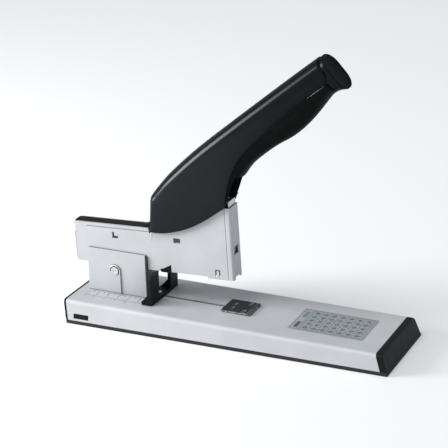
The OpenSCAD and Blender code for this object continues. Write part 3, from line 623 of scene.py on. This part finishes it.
def rounded_copy(node, name, edge, finish=None, turn=40.0, steps=2):
    """The node's own shape as clean faces with rounded edges."""
    piece = bpy.data.objects.new(name, NODES[node].data.copy())
    bpy.context.scene.collection.objects.link(piece)
    edit(piece)
    bpy.ops.mesh.select_all(action="SELECT")
    bpy.ops.mesh.remove_doubles(threshold=SAME_PLACE / 2)
    bpy.ops.mesh.dissolve_limited(angle_limit=math.radians(0.6))
    done()
    round_edges(piece, edge, steps, turn)
    smooth(piece)
    apply(piece, "WEIGHTED_NORMAL", keep_sharp=True)
    settle(piece, node)
    if finish:
        dress(piece, SLOT_OF[node], finish)
    return piece


# ---- the handle ----


def handle_place():
    """From the handle's own axes (along it, across the head, up from it) to the row frame."""
    slope = bpy.context.scene.stapler_sizes.handle_slope
    return Matrix.Translation(PIVOTS["handle_pivot"]) @ Matrix.Rotation(-slope, 4, "Y")


class Outline:
    """Side outline of a handle node in the handle's own axes."""

    def __init__(self, node):
        mesh = NODES[node].data
        to_handle = handle_place().inverted()
        self.points = [to_handle @ vertex.co for vertex in mesh.vertices]
        self.tree = BVHTree.FromPolygons(self.points, [tuple(face.vertices) for face in mesh.polygons])

    def span(self, axis):
        values = [point[axis] for point in self.points]
        return min(values), max(values)

    def height(self, x, y, from_above):
        """Height of the first surface met from above or from below, or None."""
        far = 0.2
        way = -1 if from_above else 1
        hit = self.tree.ray_cast(Vector((x, y, -way * far)), Vector((0, 0, way)))[0]
        return None if hit is None else hit.z


def softened(heights, passes):
    """Heights with small kinks averaged out."""
    for _ in range(passes):
        heights = ([heights[0]] + [(a + 2 * b + c) / 4 for a, b, c in zip(heights, heights[1:], heights[2:])]
                   + [heights[-1]])
    return heights


def stations_along(low, high, spacing, extra=()):
    """Places of the cross-sections along the handle."""
    count = max(2, round((high - low) / spacing))
    places = [low + (high - low) * i / count for i in range(count + 1)]
    return sorted([x for x in places if all(abs(x - e) > spacing / 3 for e in extra)] + list(extra))


def arched_loft(name, sections, half, radius, up, closed, side_crown, roof_crown):
    """Half of a handle moulding: an arched cross-section pulled from station to station.

    A section is (place along the handle, height of the arch, height of its foot, rise of its shoulder).
    up is 1 for an arch above its foot and -1 for one below.
    """
    steps = bpy.context.scene.stapler_sizes.round_steps
    rows = 4
    x, crest, foot, rise = sections[0]
    leg = abs(crest - foot) - rise
    piece = start(name, bpy.ops.mesh.primitive_circle_add, vertices=4 * steps, radius=radius,
                  location=(x, radius - half, crest - up * radius), rotation=(0, math.pi / 2, 0))
    edit(piece)
    pick(piece, lambda v: v.co.y > radius - half + SAME_PLACE or up * (v.co.z - crest) < -radius - SAME_PLACE)
    bpy.ops.mesh.delete(type="VERT")
    pick(piece, lambda v: v.co.y > radius - half - SAME_PLACE)
    for crown_share in (0.75, 0.25):
        pull_points(y=(half - radius) / 2, z=up * roof_crown * crown_share)
    pick(piece, lambda v: True)
    stretch(z=rise / radius, about=(x, 0, crest))
    pick(piece, lambda v: up * (v.co.z - crest) < -rise + SAME_PLACE)
    swell = [side_crown * 4 * t * (1 - t) for t in (k / rows for k in range(rows + 1))]
    for k in range(rows):
        pull_points(y=swell[k] - swell[k + 1], z=-up * leg / rows)
    if closed:
        pull_points(y=half)
    pick(piece, lambda v: True)
    for next_x, next_crest, next_foot, next_rise in sections[1:]:
        next_leg = abs(next_crest - next_foot) - next_rise
        pull_edges(x=next_x - x, z=next_crest - crest)
        stretch(z=next_rise / rise, about=(0, 0, next_crest))
        shoulder = next_crest - up * next_rise
        pick(piece, lambda v: abs(v.co.x - next_x) < SAME_PLACE and up * (v.co.z - shoulder) < SAME_PLACE)
        stretch(z=next_leg / (leg * next_rise / rise), about=(0, 0, shoulder))
        pick(piece, lambda v: abs(v.co.x - next_x) < SAME_PLACE)
        x, crest, rise, leg = next_x, next_crest, next_rise, next_leg
    return piece


def close_end(piece, x):
    """Fills the cross-section at one end of a half moulding."""
    pick(piece, lambda v: abs(v.co.x - x) < SAME_PLACE)
    bpy.ops.mesh.edge_face_add()


def cut_opening(piece, front, half, top, corner):
    """Cuts away what lies between a moulding's two sides, below a height, so that the head can go in."""
    rear, depth = -60 * MM, 80 * MM  # both reach past the moulding
    cutter = start("opening_block", bpy.ops.mesh.primitive_cube_add, size=1,
                   location=((rear + front) / 2, 0, top - depth / 2), scale=(front - rear, 2 * half, depth))
    round_edges(cutter, corner, 4)
    apply(piece, "BOOLEAN", object=cutter, operation="DIFFERENCE", solver="EXACT")
    only(cutter)
    bpy.ops.object.delete()


def mirror_across(piece):
    """Makes the other half of a moulding that was modelled on one side."""
    apply(piece, "MIRROR", use_axis=(False, True, False), use_mirror_merge=True, merge_threshold=SAME_PLACE)
    turn_outwards(piece)


class STAPLER_OT_handle_shell(bpy.types.Operator):
    """Models the moulded shell: an arched section along the handle, open below, with an even wall"""

    bl_idname = "stapler.handle_shell"
    bl_label = "Handle Shell"

    def execute(self, context):
        sizes = context.scene.stapler_sizes
        outline = Outline("handle_shell")
        half = outline.span(1)[1]
        low, high = outline.span(0)
        foot_corner = min(outline.points, key=lambda point: point.z).x
        wall_y = -(half - sizes.shell_wall / 2)
        places = stations_along(low + 0.3 * MM, high - 0.05 * MM, sizes.station, [foot_corner])
        sections = []
        for x in places:
            crest, foot = outline.height(x, 0, True), outline.height(x, wall_y, False)
            if crest is None:
                crest = outline.height(x, wall_y, True)
            if crest is None or foot is None or crest - foot < 1.5 * MM:
                continue
            rise = min(sizes.shoulder, sizes.rear_shoulder + 0.28 * (x - low), 0.8 * (crest - foot))
            sections.append((x, crest, foot, rise))
        shell = arched_loft("moulded_handle_shell", sections, half, sizes.shoulder, 1, False,
                            sizes.side_crown, sizes.roof_crown)
        bpy.ops.mesh.select_mode(type="FACE")
        inner = half - sizes.shell_wall
        pick(shell, lambda face: self.in_rear_opening(face.calc_center_median(), inner, sizes), "faces")
        bpy.ops.mesh.delete(type="FACE")
        done()
        mirror_across(shell)
        apply(shell, "SOLIDIFY", thickness=sizes.shell_wall, offset=-1, use_even_offset=True)
        round_edges(shell, sizes.moulded_edge, 2, 55)
        smooth(shell, 35)
        settle(shell, "handle_shell", handle_place())
        return {"FINISHED"}

    def in_rear_opening(self, place, half, sizes):
        """Whether a place lies in the opening of the rear wall, through which the magazine passes."""
        return abs(place.y) < half and place.x < sizes.rear_opening and place.z < sizes.opening_top


class STAPLER_OT_rubber_grip(bpy.types.Operator):
    """Models the soft grip that swells below the shell's seam"""

    bl_idname = "stapler.rubber_grip"
    bl_label = "Rubber Grip"

    def execute(self, context):
        sizes = context.scene.stapler_sizes
        outline = Outline("rubber_grip")
        half = outline.span(1)[1]
        low, high = outline.span(0)
        lip_y = -(half - sizes.shell_wall * 0.9)
        places = stations_along(low + 0.8 * MM, high - 0.1 * MM, sizes.station)
        found = []
        for x in places:
            belly = outline.height(x, 0, False)
            if belly is None:  # beside the mouth only the lips are there
                belly = outline.height(x, lip_y, False)
            found.append((x, belly, outline.height(x, lip_y, True)))
        found = [section for section in found if None not in section and section[2] - section[1] > 0.8 * MM]
        bellies = softened([section[1] for section in found], 3)
        sections = []
        for (x, _, seam), belly in zip(found, bellies):
            full = 0.93 * (seam - belly)
            sections.append((x, belly, seam, min(full, sizes.lip_round + 0.2 * (x - low))))
        grip = arched_loft("soft_grip", sections, half, half, -1, True, sizes.side_crown, 0.0)
        close_end(grip, sections[0][0])
        close_end(grip, sections[-1][0])
        done()
        mirror_across(grip)
        cut_opening(grip, sizes.mouth_end, half - sizes.shell_wall, sizes.opening_top, sizes.opening_round)
        round_edges(grip, sizes.moulded_edge, 3, 50)
        smooth(grip, 40)
        settle(grip, "rubber_grip", handle_place())
        return {"FINISHED"}


class STAPLER_OT_end_cap(bpy.types.Operator):
    """Models the flared oval end of the handle with its recessed face"""

    bl_idname = "stapler.end_cap"
    bl_label = "End Cap"

    def execute(self, context):
        sizes = context.scene.stapler_sizes
        outline = Outline("end_cap")
        end = outline.span(0)[1]
        low, high = outline.span(2)
        middle, tall, wide = (low + high) / 2, high - low, sizes.rim_width
        cap = start("flared_handle_end", bpy.ops.mesh.primitive_plane_add, size=1, location=(end, 0, middle),
                    rotation=(0, math.pi / 2, 0))
        edit(cap)
        pick(cap, lambda v: True)
        stretch(y=wide, z=tall, about=(end, 0, middle))
        bpy.ops.mesh.bevel(affect="VERTICES", offset=wide * 0.47, segments=9, clamp_overlap=False)
        bpy.ops.mesh.select_mode(type="EDGE")
        pick(cap, lambda e: True, "edges")
        # Distance back from the end, width and height of the ring there, and how far its middle is raised
        rings = [(1.4, 1.0, 1.0, 0.0), (3.0, 0.985, 0.965, 0.35), (5.2, 0.975, 0.92, 0.9),
                 (8.0, 0.965, 0.895, 1.5), (12.0, 0.86, 0.80, 1.6)]
        back, broad, high_share, raised = 0.0, 1.0, 1.0, 0.0
        for ring_back, ring_broad, ring_high, ring_raised in rings:
            pull_edges(x=-(ring_back - back) * MM, z=(ring_raised - raised) * MM)
            stretch(y=ring_broad / broad, z=ring_high / high_share, about=(0, 0, middle + ring_raised * MM))
            back, broad, high_share, raised = ring_back, ring_broad, ring_high, ring_raised
        bpy.ops.mesh.edge_face_add()
        bpy.ops.mesh.select_mode(type="FACE")
        pick(cap, lambda f: all(abs(v.co.x - end) < SAME_PLACE for v in f.verts), "faces")
        bpy.ops.mesh.inset(thickness=sizes.rim_edge)
        bpy.ops.mesh.inset(thickness=0.6 * MM, depth=-sizes.rim_recess)
        done()
        turn_outwards(cap)
        round_edges(cap, sizes.moulded_edge, 3, 30)
        smooth(cap, 40)
        settle(cap, "end_cap", handle_place())
        return {"FINISHED"}


# ---- sheet steel, mouldings and hardware ----


class STAPLER_OT_folded_sheets(bpy.types.Operator):
    """Models the painted sheets with rounded cut edges"""

    bl_idname = "stapler.folded_sheets"
    bl_label = "Folded Sheets"

    def execute(self, context):
        sizes = context.scene.stapler_sizes
        edge = sizes.sheet_edge
        rounded_copy("base_cover", "folded_base_cover", edge, base_paint())
        rounded_copy("side_plate_right", "head_plate_right", edge)
        rounded_copy("side_plate_left", "head_plate_left", edge)
        rounded_copy("magazine_channel", "folded_magazine", edge)
        rounded_copy("nose_plate", "wrapped_nose", edge)
        bracket = rounded_copy("hinge_bracket", "folded_bracket", edge)
        bracket.data.materials.append(raw_cut_edge())
        band_start = max(vertex.co.x for vertex in bracket.data.vertices) - sizes.shade_band_depth
        floor_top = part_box("hinge_bracket")[0].z + sizes.bracket_foot
        edit(bracket)
        bpy.ops.mesh.select_all(action="SELECT")
        bpy.ops.mesh.bisect(plane_co=(band_start, 0, 0), plane_no=(1, 0, 0))
        done()
        # Painted shade: a dark band on the bracket's faces along its front edge, as well as on the cut edge itself
        for face in bracket.data.polygons:
            if face.center.x > band_start and face.center.z > floor_top:
                face.material_index = 1
        return {"FINISHED"}


class STAPLER_OT_mouldings(bpy.types.Operator):
    """Models the black mouldings and the rubber pad with soft edges"""

    bl_idname = "stapler.mouldings"
    bl_label = "Black Mouldings"

    def execute(self, context):
        edge = context.scene.stapler_sizes.moulded_edge
        pieces = [("front_cap", "moulded_front_cap", 1.0), ("rear_cap", "moulded_rear_cap", 0.6),
                  ("guide_fence", "moulded_fence", 0.7), ("head_bumper", "moulded_bumper", 0.6),
                  ("feed_cover", "moulded_feed_cover", 0.5), ("rear_plug", "moulded_plug", 0.5),
                  ("driver_cap", "moulded_driver_cap", 0.8), ("side_badge", "blank_badge", 0.4),
                  ("anti_slip_pad", "ribbed_pad", 0.6)]
        for node, name, share in pieces:
            rounded_copy(node, name, edge * share)
        return {"FINISHED"}


class STAPLER_OT_hardware(bpy.types.Operator):
    """Models pins, rivets, the anvil, the label and the lever with fine rounded edges"""

    bl_idname = "stapler.hardware"
    bl_label = "Hardware"

    def execute(self, context):
        edge = context.scene.stapler_sizes.fine_edge
        pieces = [("anvil_plate", "grooved_anvil", 1.5), ("head_pin", "hinge_rivet", 2.0),
                  ("bracket_rivets", "floor_rivets", 1.5), ("plate_rivets", "head_rivets", 1.0),
                  ("handle_lever", "folded_lever", 1.5), ("driver_blade", "driver_plate", 1.0),
                  ("push_pin", "driving_pin", 1.5), ("handle_pin", "handle_rivet", 1.5),
                  ("guide_clamp", "sliding_clamp", 1.0), ("guide_screw", "clamp_screw", 1.0),
                  ("spec_label", "printed_label", 0.5), ("floor_plate", "floor_sheet", 1.0),
                  ("base_screws", "floor_screws", 1.0), ("anvil_clip", "anvil_ring", 1.0),
                  ("anvil_stem", "turned_stem", 1.5), ("pusher", "staple_pusher", 1.0)]
        for node, name, share in pieces:
            rounded_copy(node, name, edge * share)
        return {"FINISHED"}


class STAPLER_OT_hidden_parts(bpy.types.Operator):
    """Finishes the frame's own pieces that stay as they are, such as springs and rails"""

    bl_idname = "stapler.hidden_parts"
    bl_label = "Springs and Rails"

    def execute(self, context):
        for node, piece in NODES.items():
            if not piece.hide_render:
                dress(piece, SLOT_OF[node])
        return {"FINISHED"}


# ---- the stage ----


def look_at(target, azimuth, elevation, roll, distance):
    """Place and turn of something that faces a target from a direction."""
    turn = Matrix.Rotation(azimuth, 4, "Z") @ Matrix.Rotation(math.pi / 2 - elevation, 4, "X")
    turn = turn @ Matrix.Rotation(roll, 4, "Z")
    place = Vector(target) + turn.to_3x3() @ Vector((0, 0, distance))
    return place, turn.to_euler()


class STAPLER_OT_stage(bpy.types.Operator):
    """Sets up the camera, the pale floor and the soft lights"""

    bl_idname = "stapler.stage"
    bl_label = "Studio Stage"

    def execute(self, context):
        studio = context.scene.stapler_studio
        place, turn = look_at(studio.target, studio.azimuth, studio.elevation, studio.roll, studio.distance)
        bpy.ops.object.camera_add(location=place, rotation=turn)
        camera = context.active_object
        camera.name = "studio_camera"
        camera.data.lens = studio.lens
        camera.data.clip_end = 20
        context.scene.camera = camera
        self.floor()
        self.lights(context, studio)
        return {"FINISHED"}

    def floor(self):
        floor = start("studio_floor", bpy.ops.mesh.primitive_plane_add, size=8, location=(0, 0, -0.05 * MM))
        edit(floor)
        bpy.ops.mesh.select_all(action="SELECT")
        bpy.ops.mesh.subdivide(number_cuts=3)
        done()
        floor.data.materials.append(pale_floor())

    def lights(self, context, studio):
        place, turn = look_at((0, 0, 0), studio.key_azimuth, studio.key_elevation, 0, 3.0)
        bpy.ops.object.light_add(type="SUN", location=place, rotation=turn)
        key = context.active_object
        key.name = "key_light"
        key.data.energy = studio.key_power
        key.data.angle = studio.key_spread
        handle_middle = (20 * MM, 0, 160 * MM)
        place, turn = look_at(handle_middle, studio.strip_azimuth, studio.strip_elevation, 0,
                              studio.strip_distance)
        bpy.ops.object.light_add(type="AREA", location=place, rotation=turn)
        strip = context.active_object
        strip.name = "strip_light"
        strip.data.shape = "RECTANGLE"
        strip.data.size, strip.data.size_y = studio.strip_width, studio.strip_height
        strip.data.energy = studio.strip_power
        world = bpy.data.worlds.new("pale_surroundings")
        context.scene.world = world
        world.use_nodes = True
        ground = world.node_tree.nodes["Background"]
        ground.inputs["Color"].default_value = (0.93, 0.96, 1.0, 1.0)
        ground.inputs["Strength"].default_value = studio.fill
        context.scene.view_settings.view_transform = "Standard"


class STAPLER_PT_panel(bpy.types.Panel):
    """Lists the stapler's pieces and sizes"""

    bl_label = "Stapler"
    bl_idname = "STAPLER_PT_panel"
    bl_space_type = "VIEW_3D"
    bl_region_type = "UI"
    bl_category = "Stapler"

    def draw(self, context):
        column = self.layout.column(align=True)
        for operator in OPERATORS:
            column.operator(operator.bl_idname)
        for name in GROUPS:
            group = getattr(context.scene, name)
            box = self.layout.box()
            box.label(text=name.replace("_", " ").capitalize())
            for setting in group.__annotations__:
                box.prop(group, setting)


OPERATORS = (STAPLER_OT_stage, STAPLER_OT_handle_shell, STAPLER_OT_rubber_grip, STAPLER_OT_end_cap,
             STAPLER_OT_folded_sheets, STAPLER_OT_mouldings, STAPLER_OT_hardware, STAPLER_OT_hidden_parts)
GROUPS = {"stapler_sizes": StaplerSizes, "stapler_colours": StaplerColours, "stapler_studio": StaplerStudio}


def register():
    for group in GROUPS.values():
        bpy.utils.register_class(group)
    for cls in (*OPERATORS, STAPLER_PT_panel):
        bpy.utils.register_class(cls)
    for name, group in GROUPS.items():
        setattr(bpy.types.Scene, name, PointerProperty(type=group))


def unregister():
    for name in GROUPS:
        delattr(bpy.types.Scene, name)
    for cls in (STAPLER_PT_panel, *reversed(OPERATORS), *reversed(list(GROUPS.values()))):
        bpy.utils.unregister_class(cls)


def main():
    register()
    bpy.ops.stapler.stage()
    bpy.ops.stapler.handle_shell()
    bpy.ops.stapler.rubber_grip()
    bpy.ops.stapler.end_cap()
    bpy.ops.stapler.folded_sheets()
    bpy.ops.stapler.mouldings()
    bpy.ops.stapler.hardware()
    bpy.ops.stapler.hidden_parts()


if __name__ == "__main__":
    main()
